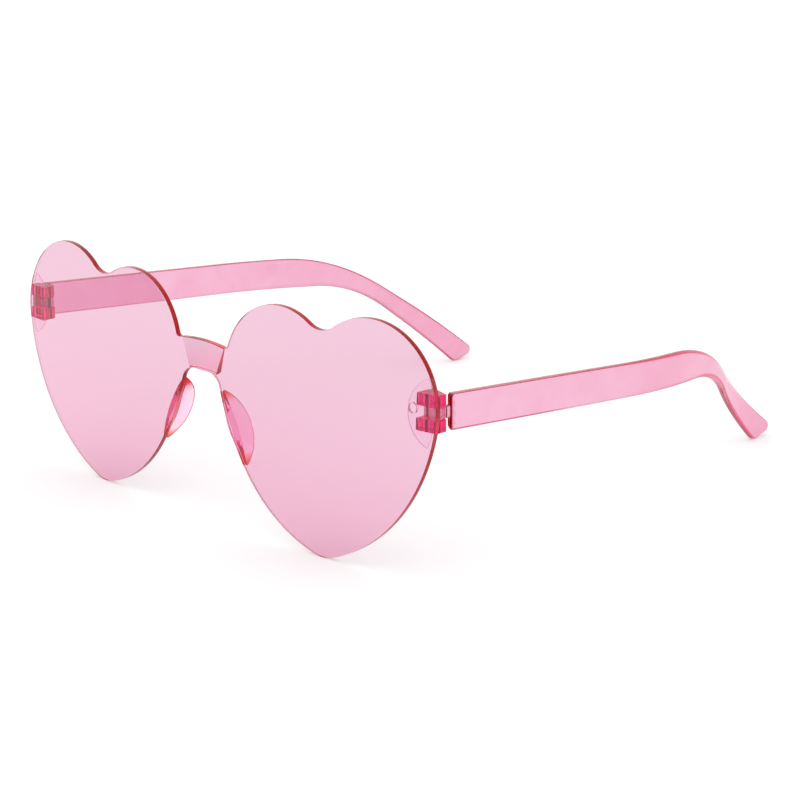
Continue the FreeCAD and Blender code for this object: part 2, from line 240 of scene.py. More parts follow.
def rounded(corners, closed=True):
    """Outline through corners given with their radii. An open one has no corner at its ends."""
    count = len(corners)
    bends = []
    for i, (corner, radius) in enumerate(corners):
        if radius == 0:
            bends.append((corner, None, corner))
            continue
        before = (corners[i - 1][0] - corner).normalized()
        after = (corners[(i + 1) % count][0] - corner).normalized()
        half = before.angle(after) / 2
        centre = corner + (before + after).normalized() * (radius / math.sin(half))
        reach = radius / math.tan(half)
        bends.append((corner + before * reach, centre, corner + after * reach))
    points = []
    for i, (start, centre, end) in enumerate(bends):
        if centre is not None:
            points += arc(centre, start, end)
        if closed or i < count - 1:
            points += run(end, bends[(i + 1) % count][0])
    return points


def inside(points, loops):
    """Even-odd test of many points against closed loops."""
    x, y = points[:, 0], points[:, 1]
    result = np.zeros(len(points), bool)
    for loop in loops:
        following = np.roll(loop, -1, axis=0)
        for (x0, y0), (x1, y1) in zip(loop, following):
            if y0 == y1:
                continue
            crossing = (y0 > y) != (y1 > y)
            result ^= crossing & (x < (x1 - x0) * (y - y0) / (y1 - y0) + x0)
    return result


def outward_normals(loop, hole):
    tangent = np.roll(loop, -1, axis=0) - np.roll(loop, 1, axis=0)
    tangent /= np.linalg.norm(tangent, axis=1)[:, None]
    normal = np.stack([tangent[:, 1], -tangent[:, 0]], 1)
    following = np.roll(loop, -1, axis=0)
    area = (loop[:, 0] * following[:, 1] - following[:, 0] * loop[:, 1]).sum()
    return normal if (area > 0) != hole else -normal


def grid_points(ring, loops, pitch):
    """Staggered points inside the loops, clear of their edges."""
    low, high = ring.min(0), ring.max(0)
    rows = [np.empty((0, 2))]
    for i, v in enumerate(np.arange(low[1] + pitch / 2, high[1], pitch * ROW_SHARE)):
        u = np.arange(low[0] + (i % 2) * pitch / 2, high[0], pitch)
        rows.append(np.stack([u, np.full(len(u), v)], 1))
    points = np.concatenate(rows)
    points = points[inside(points, loops)]
    gap = np.full(len(points), np.inf)
    for start in range(0, len(ring), CHUNK):
        away = np.linalg.norm(points[:, None] - ring[None, start:start + CHUNK], axis=2)
        gap = np.minimum(gap, away.min(1))
    return points[gap > EDGE_GAP * pitch]


def new_object(name, verts, faces):
    mesh = bpy.data.meshes.new(name)
    mesh.from_pydata(verts, [], faces)
    bm = bmesh.new()
    bm.from_mesh(mesh)
    bmesh.ops.remove_doubles(bm, verts=bm.verts, dist=WELD)
    bmesh.ops.recalc_face_normals(bm, faces=bm.faces)
    bm.to_mesh(mesh)
    bm.free()
    obj = bpy.data.objects.new(name, mesh)
    bpy.context.scene.collection.objects.link(obj)
    return obj


def solid(name, loops, near, far, place, bevel, pitch, creases=()):
    """Closed body between two depths over an outline with holes, with rounded edges and dense faces.

    near and far give a depth for a place on the plane, and place gives a point in space for both. bevel gives
    the width and depth of the rounding for the first coordinate of a place. creases are lines that the far
    face has to follow.
    """
    loops = [np.array(loop) for loop in loops]
    edge_rows = [(1.0, 0.0, SUPPORT), (1.0, 0.0, 0.0)]
    for i in range(1, BEVEL_STEPS + 1):
        turn = math.pi / 2 * i / BEVEL_STEPS
        edge_rows.append((1 - math.sin(turn), 1 - math.cos(turn), 0.0))
    profile = [(near, 1, edge) for edge in edge_rows]
    profile += [(far, -1, edge) for edge in reversed(edge_rows)]
    verts, faces, first_ring, last_ring, ring_loops = [], [], [], [], []
    for index, loop in enumerate(loops):
        normal = outward_normals(loop, index > 0)
        count = len(loop)
        base = len(verts)
        widths, depths = np.array([bevel(u) for u, _ in loop]).T
        for level, way, (in_share, down_share, support) in profile:
            insets = widths * in_share + support + HAIR
            for (u, v), depth in zip(loop - normal * insets[:, None], depths * down_share):
                verts.append(place(u, v, level(u, v) + way * depth))
        for r in range(len(profile) - 1):
            for i in range(count):
                j = (i + 1) % count
                a, b = base + r * count, base + (r + 1) * count
                faces.append((a + i, a + j, b + j, b + i))
        first_ring += range(base, base + count)
        last_ring += range(base + (len(profile) - 1) * count, base + len(profile) * count)
        ring_loops.append(loop - normal * (widths + SUPPORT + HAIR)[:, None])
    ring = np.concatenate(ring_loops)
    ring_edges, offset = [], 0
    for loop in ring_loops:
        count = len(loop)
        ring_edges += [(offset + i, offset + (i + 1) % count) for i in range(count)]
        offset += count
    grid = grid_points(ring, ring_loops, pitch)
    for level, ids, lines in ((near, first_ring, ()), (far, last_ring, creases)):
        coords = [Vector(p) for p in ring]
        edges = list(ring_edges)
        for line in lines:
            kept = np.array(line)
            kept = kept[inside(kept, ring_loops)]
            start = len(coords)
            coords += [Vector(p) for p in kept]
            edges += [(start + i, start + i + 1) for i in range(len(kept) - 1)]
        coords += [Vector(p) for p in grid]
        out, _, triangles, origin, _, _ = delaunay_2d_cdt(coords, edges, [], 0, MERGE)
        corners = np.array([[out[i] for i in t] for t in triangles])
        sides = corners[:, 1:] - corners[:, :1]
        areas = abs(sides[:, 0, 0] * sides[:, 1, 1] - sides[:, 0, 1] * sides[:, 1, 0]) / 2
        keep = inside(corners.mean(1), ring_loops) & (areas > LEAST_AREA)
        known = {}
        for i, sources in enumerate(origin):
            if sources and sources[0] < len(ids):
                known[i] = ids[sources[0]]
        for triangle, wanted in zip(triangles, keep):
            if not wanted:
                continue
            corners = []
            for i in triangle:
                if i not in known:
                    known[i] = len(verts)
                    verts.append(place(out[i].x, out[i].y, level(out[i].x, out[i].y)))
                corners.append(known[i])
            faces.append(corners)
    return new_object(name, verts, faces)


def even(size):
    """Rounding of the same width and depth all over."""
    return lambda u: (size, size)


def combine(base, tool, operation):
    """Joins a second body to the first, or cuts it away, and removes it."""
    modifier = base.modifiers.new("combine", "BOOLEAN")
    modifier.operation = operation
    modifier.solver = "EXACT"
    modifier.object = tool
    shaped = base.evaluated_get(bpy.context.evaluated_depsgraph_get())
    mesh = bpy.data.meshes.new_from_object(shaped)
    base.modifiers.clear()
    base.data = mesh
    mesh.name = base.name
    bpy.data.objects.remove(tool)
    return base


def mirrored(obj, name):
    mesh = obj.data.copy()
    mesh.transform(Matrix.Scale(-1, 4, (1, 0, 0)))
    mesh.flip_normals()
    mesh.name = name
    copy = bpy.data.objects.new(name, mesh)
    bpy.context.scene.collection.objects.link(copy)
    return copy


def finish_mesh(obj, shade_and_frost):
    """Smooth shading up to real edges, and the share of painted shade and frost on each face."""
    mesh = obj.data
    mesh.shade_smooth()
    mesh.set_sharp_from_angle(angle=SHARP_ANGLE)
    # Share of painted shade on each face, which also makes cut edges rougher
    share = mesh.attributes.new("edge_shade_and_frost", "FLOAT", "FACE")
    share.data.foreach_set("value", [min(1.0, max(0.0, shade_and_frost(p))) for p in mesh.polygons])


def cut_edges(across):
    """Share of painted shade and frost on the faces that stand across a flat side."""
    return lambda face: (EDGE_SHADE_START - abs(face.normal.dot(across))) / EDGE_SHADE_RUN


# Front: outline of one heart with half the bridge, and its mirror image

def half_outline():
    up = Vector((0, 1))
    tip = Vector((HEART_AXIS_X, TIP_RADIUS))
    outer_flank = meeting_point(
        tip, OUTER_FLANK_RADIUS - TIP_RADIUS, OUTER_LOBE, OUTER_FLANK_RADIUS - OUTER_LOBE_RADIUS, up
    )
    inner_flank = meeting_point(
        tip, INNER_FLANK_RADIUS - TIP_RADIUS, INNER_LOBE, INNER_FLANK_RADIUS - INNER_LOBE_RADIUS, up
    )
    notch = meeting_point(
        OUTER_LOBE, OUTER_LOBE_RADIUS + NOTCH_RADIUS, INNER_LOBE, INNER_LOBE_RADIUS + NOTCH_RADIUS, up
    )
    crown = Vector((0, BRIDGE_TOP_Z - BRIDGE_CROWN_RADIUS))
    fillet = meeting_point(
        crown, BRIDGE_CROWN_RADIUS + BRIDGE_FILLET, INNER_LOBE, INNER_LOBE_RADIUS + BRIDGE_FILLET,
        Vector((-1, 1)),
    )
    crown_end = towards(crown, fillet, BRIDGE_CROWN_RADIUS)
    lobe_start = towards(INNER_LOBE, fillet, INNER_LOBE_RADIUS)
    inner_top = towards(INNER_LOBE, notch, INNER_LOBE_RADIUS)
    outer_top = towards(OUTER_LOBE, notch, OUTER_LOBE_RADIUS)
    outer_side = towards(outer_flank, OUTER_LOBE, OUTER_FLANK_RADIUS)
    outer_low = towards(outer_flank, tip, OUTER_FLANK_RADIUS)
    inner_low = towards(inner_flank, tip, INNER_FLANK_RADIUS)
    way = (ARCH_FOOT - ARCH_KNEE).normalized()
    away = ARCH_KNEE - inner_flank
    lead = way.dot(away)
    join = ARCH_KNEE + way * (-lead - math.sqrt(lead ** 2 - away.dot(away) + INNER_FLANK_RADIUS ** 2))
    arch = rounded([
        (join, 0),
        (ARCH_KNEE, ARCH_KNEE_RADIUS),
        (Vector((ARCH_TOP_HALF, ARCH_TOP_Z)), ARCH_FILLET),
        (Vector((0, ARCH_TOP_Z)), 0),
    ], closed=False)
    return (
        arc(crown, Vector((0, BRIDGE_TOP_Z)), crown_end)
        + arc(fillet, crown_end, lobe_start)
        + arc(INNER_LOBE, lobe_start, inner_top)
        + arc(notch, inner_top, outer_top)
        + arc(OUTER_LOBE, outer_top, outer_side)
        + arc(outer_flank, outer_side, outer_low)
        + arc(tip, outer_low, inner_low)
        + arc(inner_flank, inner_low, join)
        + arch
    )


BRACE_LOW_Z = ARCH_TOP_Z - ARCH_FILLET / 2


def brace_share(z):
    """Share of the way down from the bridge's top to the arch."""
    return (BRIDGE_TOP_Z - z) / (BRIDGE_TOP_Z - ARCH_TOP_Z)


def brace_half(z):
    return BRACE_TOP_HALF + (BRACE_LOW_HALF - BRACE_TOP_HALF) * brace_share(z)


def flange_outline(growth):
    """Half disc behind the widest place of the left heart."""
    disc = Vector((EDGE_X, HINGE_Z))
    lobe = OUTER_LOBE - Vector((FLANGE_INSET - growth, 0))
    radius = FLANGE_RADIUS + growth
    horns = [meeting_point(disc, radius, lobe, OUTER_LOBE_RADIUS, Vector((0, s))) for s in (1, -1)]
    lobe_side = lobe + Vector((OUTER_LOBE_RADIUS, 0))
    disc_side = disc - Vector((radius, 0))
    return (
        arc(lobe, horns[1], lobe_side) + arc(lobe, lobe_side, horns[0])
        + arc(disc, horns[0], disc_side) + arc(disc, disc_side, horns[1])
    )


def in_hinge_seat(x, z):
    place = Vector((abs(x), z))
    lobe = OUTER_LOBE - Vector((FLANGE_INSET - SEAT_GROWTH, 0))
    in_disc = (place - Vector((EDGE_X, HINGE_Z))).length < FLANGE_RADIUS + SEAT_GROWTH
    return in_disc and (place - lobe).length < OUTER_LOBE_RADIUS


def front_back(x, z):
    """Back of the sheet, thicker behind the bridge and hollowed for the hinge flanges."""
    plain = surface_y(x, z, LENS_THICKNESS)
    if in_hinge_seat(x, z):
        return surface_y(x, z, LENS_THICKNESS - FLANGE_THICKNESS)
    if z < BRACE_LOW_Z or abs(x) > brace_half(z):
        return plain
    top = surface_y(0, BRIDGE_TOP_Z, LENS_THICKNESS) + BRACE_TOP_THICKNESS
    low = surface_y(0, ARCH_TOP_Z, LENS_THICKNESS) + BRACE_LOW_THICKNESS
    return max(plain, top + (low - top) * brace_share(z))


half = half_outline()
left_way = [Vector((-p.x, p.y)) for p in reversed(half[1:])]
front_loops = [half + [Vector((0, ARCH_TOP_Z))] + left_way]
back_lines = []
brace_heights = np.arange(BRACE_LOW_Z, BRIDGE_TOP_Z, CREASE_STEP)
for side in (1, -1):
    front_loops.append(circle(Vector((side * PEG.x, PEG.y)), PEG_RADIUS + SEAT_GROWTH))
    for step in (-SEAT_WALL / 2, SEAT_WALL / 2):
        back_lines.append([(side * (brace_half(z) + step), z) for z in brace_heights])
    for growth in (SEAT_GROWTH - SEAT_WALL / 2, SEAT_GROWTH + SEAT_WALL / 2):
        seat = flange_outline(growth)
        back_lines.append([(side * p.x, p.y) for p in seat + seat[:1]])
front = solid(
    "front_sheet", front_loops,
    lambda x, z: surface_y(x, z, 0), front_back, upright,
    bevel=even(0.16), pitch=1.5, creases=back_lines,
)


def front_shade_and_frost(face):
    """Painted shade on the outer edges, but none in the hinge seats and peg holes."""
    place = Vector((abs(face.center.x / MM), face.center.z / MM))
    in_seat = (place - Vector((EDGE_X, HINGE_Z))).length < FLANGE_RADIUS + SEAT_MARGIN
    if in_seat and (place - OUTER_LOBE).length < OUTER_LOBE_RADIUS - RIM_MARGIN:
        return 0.0
    return cut_edges(Vector((0, 1, 0)))(face)


finish_mesh(front, front_shade_and_frost)

# Nose pads: leaves on the back of the sheet, flat towards the nose and domed behind

chord = PAD_FOOT - PAD_TOP
pad_radius = (chord.length ** 2 / 4 + PAD_DEPTH ** 2) / (2 * PAD_DEPTH)
pad_middle = (PAD_TOP + PAD_FOOT) / 2
along = chord.normalized()
across = Vector((-along.y, along.x))
dome_radius = (pad_radius ** 2 + PAD_DOME ** 2) / (2 * PAD_DOME)
arch_line = np.array(sorted(
    ((p - pad_middle).dot(along), (p - pad_middle).dot(across))
    for p in half if p.x < PAD_FOOT.x + PAD_DEPTH and TIP_RADIUS < p.y < ARCH_TOP_Z
))


def pad_inside(u, v):
    """Nose side of the leaf over its plane, from its middle along the chord and back from the root."""
    overhang = np.interp(u, arch_line[:, 0], arch_line[:, 1]) - v * math.sin(PAD_SPLAY)
    return max(0.0, overhang * math.cos(PAD_SPLAY))


def pad_outside(u, v):
    reach = min(pad_radius, math.hypot(u, v - (PAD_DEPTH - pad_radius)))
    dome = PAD_EDGE + math.sqrt(dome_radius ** 2 - reach ** 2) - dome_radius + PAD_DOME
    return max(dome, pad_inside(u, v) + PAD_LEAST)


def pad_place(u, v, w):
    side = pad_middle + along * u + across * (v * math.sin(PAD_SPLAY) + w / math.cos(PAD_SPLAY))
    root = surface_y(side.x, side.y, LENS_THICKNESS) - BOND
    return row(side.x, root + v * math.cos(PAD_SPLAY), side.y)


hub = Vector((0, PAD_DEPTH - pad_radius))
crest = Vector((0, PAD_DEPTH))
corner_u = math.sqrt((pad_radius - PAD_CORNER) ** 2 - (PAD_CORNER - hub.y) ** 2)
corner_hubs = [Vector((s * corner_u, PAD_CORNER)) for s in (1, -1)]
roots = [Vector((c.x, 0)) for c in corner_hubs]
rims = [towards(hub, c, pad_radius) for c in corner_hubs]
leaf = (
    run(roots[1], roots[0]) + arc(corner_hubs[0], roots[0], rims[0]) + arc(hub, rims[0], crest)
    + arc(hub, crest, rims[1]) + arc(corner_hubs[1], rims[1], roots[1])
)
left_pad = solid("left_pad", [leaf], pad_inside, pad_outside, pad_place, bevel=even(0.18), pitch=0.6)


def pad_shade_and_frost(face):
    """Painted shade towards both ends of the leaf."""
    place = Vector((face.center.x / MM, face.center.z / MM)) - pad_middle
    return (abs(place.dot(along)) / (chord.length / 2) - PAD_SHADE_START) / PAD_SHADE_RUN


finish_mesh(left_pad, pad_shade_and_frost)

# Hinge bases: flange, peg and two lugs

edge = EDGE_X - LUG_EDGE_INSET
root_y = surface_y(PIN.x - LUG_RADIUS, STACK_LOW_Z, LENS_THICKNESS) - OVERLAP
edge_back = Vector((edge, surface_y(edge, HINGE_Z, LENS_THICKNESS) + LUG_ROOT))
edge_root = Vector((edge, root_y))
to_edge = edge_back - PIN
lean = math.atan2(to_edge.y, to_edge.x) + math.acos(LUG_RADIUS / to_edge.length)
flank = PIN + Vector((math.cos(lean), math.sin(lean))) * LUG_RADIUS
inner_side = PIN - Vector((LUG_RADIUS, 0))
inner_root = Vector((inner_side.x, root_y))
rear = PIN + Vector((0, LUG_RADIUS))
lug_plan = (
    arc(PIN, inner_side, rear) + arc(PIN, rear, flank) + run(flank, edge_back)
    + run(edge_back, edge_root) + run(edge_root, inner_root) + run(inner_root, inner_side)
)
bore = circle(PIN, SCREW_RADIUS + SEAT_CLEARANCE)


def flat_stack(name, loops, low, high, bevel=0.12, pitch=0.7):
    """Body of an outline seen from above, between two heights."""
    return solid(name, loops, lambda x, y: low, lambda x, y: high, row, even(bevel), pitch)


left_base = solid(
    "left_base", [flange_outline(0)],
    lambda x, z: surface_y(x, z, LENS_THICKNESS - FLANGE_THICKNESS) - BOND,
    lambda x, z: surface_y(x, z, LENS_THICKNESS),
    upright, bevel=even(0.06), pitch=0.8,
)
peg = solid(
    "peg", [circle(PEG, PEG_RADIUS)],
    lambda x, z: surface_y(x, z, 0), lambda x, z: surface_y(x, z, LENS_THICKNESS - FLANGE_THICKNESS / 2),
    upright, bevel=even(0.03), pitch=0.5,
)

# Cutting bodies: one takes off what the lugs have inside the sheet, and others stand out above the stack
TRIM_OUTLINE = ((58, 30), (75, 30), (75, 50), (58, 50))
TRIM_DEPTH = 4.0
CUT_ABOVE = 1.0
trim = solid(
    "trim", [rounded([(Vector(p), 0) for p in TRIM_OUTLINE])],
    lambda x, z: surface_y(x, z, LENS_THICKNESS) - TRIM_DEPTH,
    lambda x, z: surface_y(x, z, LENS_THICKNESS) - BOND,
    upright, bevel=even(0.05), pitch=1.0,
)
low_lug = flat_stack("low_lug", [lug_plan, bore], STACK_LOW_Z, STACK_LOW_Z + LUG_HEIGHT)
high_lug = flat_stack("high_lug", [lug_plan, bore], STACK_TOP_Z - LUG_HEIGHT, STACK_TOP_Z)
seat = flat_stack(
    "seat", [circle(PIN, SCREW_HEAD_RADIUS + SEAT_CLEARANCE)],
    STACK_TOP_Z - SCREW_HEAD_HEIGHT, STACK_TOP_Z + CUT_ABOVE, bevel=0.03, pitch=0.5,
)
lugs = combine(combine(low_lug, high_lug, "UNION"), trim, "DIFFERENCE")
lugs = combine(lugs, seat, "DIFFERENCE")
left_base = combine(combine(left_base, lugs, "UNION"), peg, "UNION")


def base_shade_and_frost(face):
    """More painted shade on the lugs than on the flange and the peg."""
    x, y, z = face.center / MM
    behind = y + SHIFT - surface_y(x, z, LENS_THICKNESS)
    return (behind - LUG_SHADE_START) / LUG_SHADE_RUN


finish_mesh(left_base, base_shade_and_frost)

# Hinge screws: slotted head and a threaded shank

THREAD_PITCH = 0.4
THREAD_DEPTH = 0.09
THREAD_ROWS = 8
HEAD_LIP = 1e-4
HEAD_BAND = 0.1
HEAD_CHAMFER = 0.08
HEAD_CHAMFER_STEP = 0.03
head_low_z = STACK_TOP_Z - SCREW_HEAD_HEIGHT


def screw_profile(z, angle):
    """Radius at a height and an angle."""
    if z > head_low_z:
        return SCREW_HEAD_RADIUS
    wave = (z / THREAD_PITCH - angle / (2 * math.pi)) % 1.0
    return SCREW_RADIUS - THREAD_DEPTH * abs(2 * wave - 1)


heights = list(np.arange(STACK_LOW_Z, head_low_z, THREAD_PITCH / THREAD_ROWS))
heights += [head_low_z + HEAD_LIP, head_low_z + HEAD_BAND]
heights += [STACK_TOP_Z - HEAD_CHAMFER, STACK_TOP_Z - HEAD_CHAMFER_STEP, STACK_TOP_Z]
chamfer = {len(heights) - 2: HEAD_CHAMFER_STEP, len(heights) - 1: HEAD_CHAMFER}
verts, faces = [], []
for i, z in enumerate(heights):
    for j in range(ROUND):
        a = 2 * math.pi * j / ROUND
        r = screw_profile(z, a) - chamfer.get(i, 0.0)
        verts.append(row(PIN.x + r * math.cos(a), PIN.y + r * math.sin(a), z))
for i in range(len(heights) - 1):
    for j in range(ROUND):
        k = (j + 1) % ROUND
        faces.append((i * ROUND + j, i * ROUND + k, (i + 1) * ROUND + k, (i + 1) * ROUND + j))
faces.append(tuple(range(ROUND)))
faces.append(tuple(range((len(heights) - 1) * ROUND, len(heights) * ROUND)))
left_screw = new_object("left_screw", verts, faces)
slot_outline = [
    PIN + Vector((x * 2 * SCREW_HEAD_RADIUS, y * SCREW_SLOT_WIDTH / 2))
    for x, y in ((-1, -1), (1, -1), (1, 1), (-1, 1))
]
slot = flat_stack(
    "slot", [rounded([(p, 0) for p in slot_outline])],
    STACK_TOP_Z - SCREW_SLOT_DEPTH, STACK_TOP_Z + CUT_ABOVE, bevel=0.02, pitch=0.5,
)
left_screw = combine(left_screw, slot, "DIFFERENCE")
finish_mesh(left_screw, lambda face: 0.0)

# Temples: bowed bars with a toe, a pocket at the hinge and a knuckle

SLOPE = math.tan(TEMPLE_DROP)
BAR_HALF = TEMPLE_HEIGHT / 2 / math.cos(TEMPLE_DROP)

# Rounding of the bars' edges at the hinge, what it gains towards the tail, and where it gains
BAR_EDGE_WIDTH = 0.26
BAR_EDGE_WIDTH_GAIN = 1.04
BAR_EDGE_DEPTH = 0.3
BAR_EDGE_DEPTH_GAIN = 0.5
BAR_EDGE_START = 30.0
BAR_EDGE_RUN = 85.0


def bar_middle(y):
    return HINGE_Z - (y - PIN.y) * SLOPE


turn = (TAIL_ANGLE + TAIL_END_ANGLE) / 2
toe_z = TAIL_TOE_RADIUS * (1 - math.cos(TAIL_ANGLE - turn) / math.cos(turn))
heel = Vector((TEMPLE_LENGTH, toe_z + math.sin(TAIL_END_ANGLE) * TAIL_END_WIDTH))
toe = Vector((TEMPLE_LENGTH - math.cos(TAIL_END_ANGLE) * TAIL_END_WIDTH, toe_z))
bend_y = toe.x - (bar_middle(toe.x) - BAR_HALF - toe_z) / (math.tan(TAIL_ANGLE) - SLOPE)
outer_y = bend_y - BEND_OUTER_LEAD
start_y = PIN.y + TEMPLE_START
side_view = rounded([
    (Vector((start_y, bar_middle(start_y) - BAR_HALF)), BAR_CORNER),
    (Vector((bend_y, bar_middle(bend_y) - BAR_HALF)), BEND_INNER_RADIUS),
    (toe, TAIL_TOE_RADIUS),
    (heel, TAIL_HEEL_RADIUS),
    (Vector((outer_y, bar_middle(outer_y) + BAR_HALF)), BEND_OUTER_RADIUS),
    (Vector((start_y, bar_middle(start_y) + BAR_HALF)), BAR_CORNER),
])
bow_start = bend_y + FLARE_LAG - BOW_LENGTH
bow_turn = math.asin(BOW_LENGTH / BOW_RADIUS)
bow_centre = Vector((EDGE_X - BOW_RADIUS, bow_start))
flare_centre = bow_centre + Vector((math.cos(bow_turn), math.sin(bow_turn))) * (BOW_RADIUS + FLARE_RADIUS)
pocket_y = PIN.y + POCKET_DEPTH


def temple_depth(y, inset):
    """How far inside the widest place a temple's face lies, at a depth below its outer face."""
    if y < bow_start:
        return inset
    if y < bow_centre.y + math.sin(bow_turn) * (BOW_RADIUS - inset):
        return EDGE_X - bow_centre.x - math.sqrt((BOW_RADIUS - inset) ** 2 - (y - bow_start) ** 2)
    rise = max(0.0, flare_centre.y - y)
    return EDGE_X - flare_centre.x + math.sqrt((FLARE_RADIUS + inset) ** 2 - rise ** 2)


def temple_inside(y, z):
    return TEMPLE_WALL if y < pocket_y else temple_depth(y, TEMPLE_THICKNESS)


def bar_rounding(y):
    """Slim at the hinge and full at the tail."""
    share = min(1.0, max(0.0, (y - BAR_EDGE_START) / BAR_EDGE_RUN))
    share = share * share * (3 - 2 * share)
    return BAR_EDGE_WIDTH + BAR_EDGE_WIDTH_GAIN * share, BAR_EDGE_DEPTH + BAR_EDGE_DEPTH_GAIN * share


pocket_heights = np.arange(bar_middle(pocket_y) - BAR_HALF, bar_middle(pocket_y) + BAR_HALF, CREASE_STEP)
pocket_lines = [[(pocket_y + step, z) for z in pocket_heights] for step in (-CREASE / 2, CREASE / 2)]
left_temple = solid(
    "left_bar", [side_view], lambda y, z: temple_depth(y, 0), temple_inside,
    lambda y, z, d: row(EDGE_X - d, y, z), bevel=bar_rounding, pitch=1.2, creases=pocket_lines,
)
joint_x = EDGE_X - TEMPLE_WALL / 2
joint_y = pocket_y + TEMPLE_WALL
stop_y = surface_y(EDGE_X, HINGE_Z, LENS_THICKNESS) + STOP_CLEARANCE
inner_x = EDGE_X - TEMPLE_THICKNESS + OVERLAP
ahead = PIN - Vector((0, KNUCKLE_RADIUS))
behind = PIN + Vector((0, KNUCKLE_RADIUS))
west = PIN - Vector((KNUCKLE_RADIUS, 0))
arm_corners = [
    ahead, Vector((joint_x, stop_y)), Vector((joint_x, joint_y)), Vector((inner_x, joint_y)),
    Vector((inner_x, behind.y)), behind,
]
arm_plan = []
for a, b in zip(arm_corners, arm_corners[1:]):
    arm_plan += run(a, b)
arm_plan += arc(PIN, behind, west) + arc(PIN, west, ahead)
arm = flat_stack(
    "arm", [arm_plan, circle(PIN, SCREW_RADIUS + RUNNING_CLEARANCE)],
    HINGE_Z - KNUCKLE_HEIGHT / 2, HINGE_Z + KNUCKLE_HEIGHT / 2,
)
left_temple = combine(left_temple, arm, "UNION")


def temple_shade_and_frost(face):
    """Painted shade on the edges, and more of it on the knuckle and its arm."""
    if face.center.x / MM < EDGE_X - TEMPLE_WALL - KNUCKLE_MARGIN and face.center.y / MM + SHIFT < joint_y:
        return KNUCKLE_SHADE_SHARE
    return cut_edges(Vector((1, 0, 0)))(face)


finish_mesh(left_temple, temple_shade_and_frost)

# Materials

# Tint of the plastics' reflections, so that white surroundings don't pale the cut edges
GLOSS_TINT = (1.0, 0.4, 0.4, 1)


def nodes_of(name):
    material = bpy.data.materials.new(name)
    material.use_nodes = True
    tree = material.node_tree
    tree.nodes.clear()
    return material, tree.nodes, tree.links


def set_inputs(node, values):
    """Values of sockets, by their names or numbers."""
    for socket, value in values.items():
        node.inputs[socket].default_value = value


def add_node(nodes, kind, values):
    node = nodes.new(kind)
    set_inputs(node, values)
    return node


def add_math(nodes, operation, values):
    node = add_node(nodes, "ShaderNodeMath", values)
    node.operation = operation
    return node


def add_mix(nodes, values):
    """Mix of two colours."""
    node = nodes.new("ShaderNodeMix")
    node.data_type = "RGBA"
    set_inputs(node, values)
    return node


def clear_plastic(name, absorption, skin, fade, mottle, edge_shade_colour, frost):
    """Polished plastic, dyed in its depth, with a mottled fade between two skin colours over a span of an
    axis; on the sheet this fade is painted shade.

    absorption is per millimetre of red, green and blue. skin is two colours, and fade is the axis with the
    place of each in millimetres. Cut edges get a painted shade colour, which stands for the deep red of light
    led inside the plastic, and are rougher by frost.
    """
    material, nodes, links = nodes_of(name)
    output = nodes.new("ShaderNodeOutputMaterial")
    shader = add_node(nodes, "ShaderNodeBsdfPrincipled", {
        "IOR": 1.58, "Transmission Weight": 1.0, "Specular Tint": GLOSS_TINT,
    })
    links.new(shader.outputs["BSDF"], output.inputs["Surface"])
    place = nodes.new("ShaderNodeTexCoord")
    share = nodes.new("ShaderNodeAttribute")
    share.attribute_name = "edge_shade_and_frost"
    axes = nodes.new("ShaderNodeSeparateXYZ")
    links.new(place.outputs["Object"], axes.inputs["Vector"])
    axis, first, second = fade
    along_axis = add_node(nodes, "ShaderNodeMapRange", {"From Min": first * MM, "From Max": second * MM})
    links.new(axes.outputs[axis], along_axis.inputs["Value"])
    streaks = add_node(nodes, "ShaderNodeTexNoise", {
        "Scale": 70.0, "Detail": 9.0, "Roughness": 0.65, "Distortion": 1.5,
    })
    links.new(place.outputs["Object"], streaks.inputs["Vector"])
    drift = add_math(nodes, "MULTIPLY_ADD", {1: mottle})
    links.new(streaks.outputs["Fac"], drift.inputs[0])
    links.new(along_axis.outputs["Result"], drift.inputs[2])
    settle = add_math(nodes, "SUBTRACT", {1: mottle / 2})
    settle.use_clamp = True
    links.new(drift.outputs["Value"], settle.inputs[0])
    # Fade between the two skin colours; on the sheet it is painted shade, deeper pink towards the bottom
    skin_fade = add_mix(nodes, {"A": skin[0], "B": skin[1]})
    links.new(settle.outputs["Value"], skin_fade.inputs["Factor"])
    # Painted shade on cut edges: a deep red that stands for light led inside the plastic
    tint = add_mix(nodes, {"B": edge_shade_colour})
    links.new(skin_fade.outputs["Result"], tint.inputs["A"])
    links.new(share.outputs["Fac"], tint.inputs["Factor"])
    links.new(tint.outputs["Result"], shader.inputs["Base Color"])
    wear = add_node(nodes, "ShaderNodeTexNoise", {"Scale": 420.0, "Detail": 6.0})
    links.new(place.outputs["Object"], wear.inputs["Vector"])
    haze = add_node(nodes, "ShaderNodeMapRange", {
        "From Min": 0.35, "From Max": 0.75, "To Min": 0.0, "To Max": 0.035,
    })
    links.new(wear.outputs["Fac"], haze.inputs["Value"])
    rough = add_math(nodes, "MULTIPLY_ADD", {1: frost})
    links.new(share.outputs["Fac"], rough.inputs[0])
    links.new(haze.outputs["Result"], rough.inputs[2])
    links.new(rough.outputs["Value"], shader.inputs["Roughness"])
    flow = add_node(nodes, "ShaderNodeTexNoise", {"Scale": 55.0, "Detail": 2.0})
    links.new(place.outputs["Object"], flow.inputs["Vector"])
    bump = add_node(nodes, "ShaderNodeBump", {"Strength": 0.12, "Distance": 0.0002})
    links.new(flow.outputs["Fac"], bump.inputs["Height"])
    links.new(bump.outputs["Normal"], shader.inputs["Normal"])
    kept = [1 - a for a in absorption] + [1]
    volume = add_node(nodes, "ShaderNodeVolumeAbsorption", {"Color": kept, "Density": 1 / MM})
    links.new(volume.outputs["Volume"], output.inputs["Volume"])
    return material


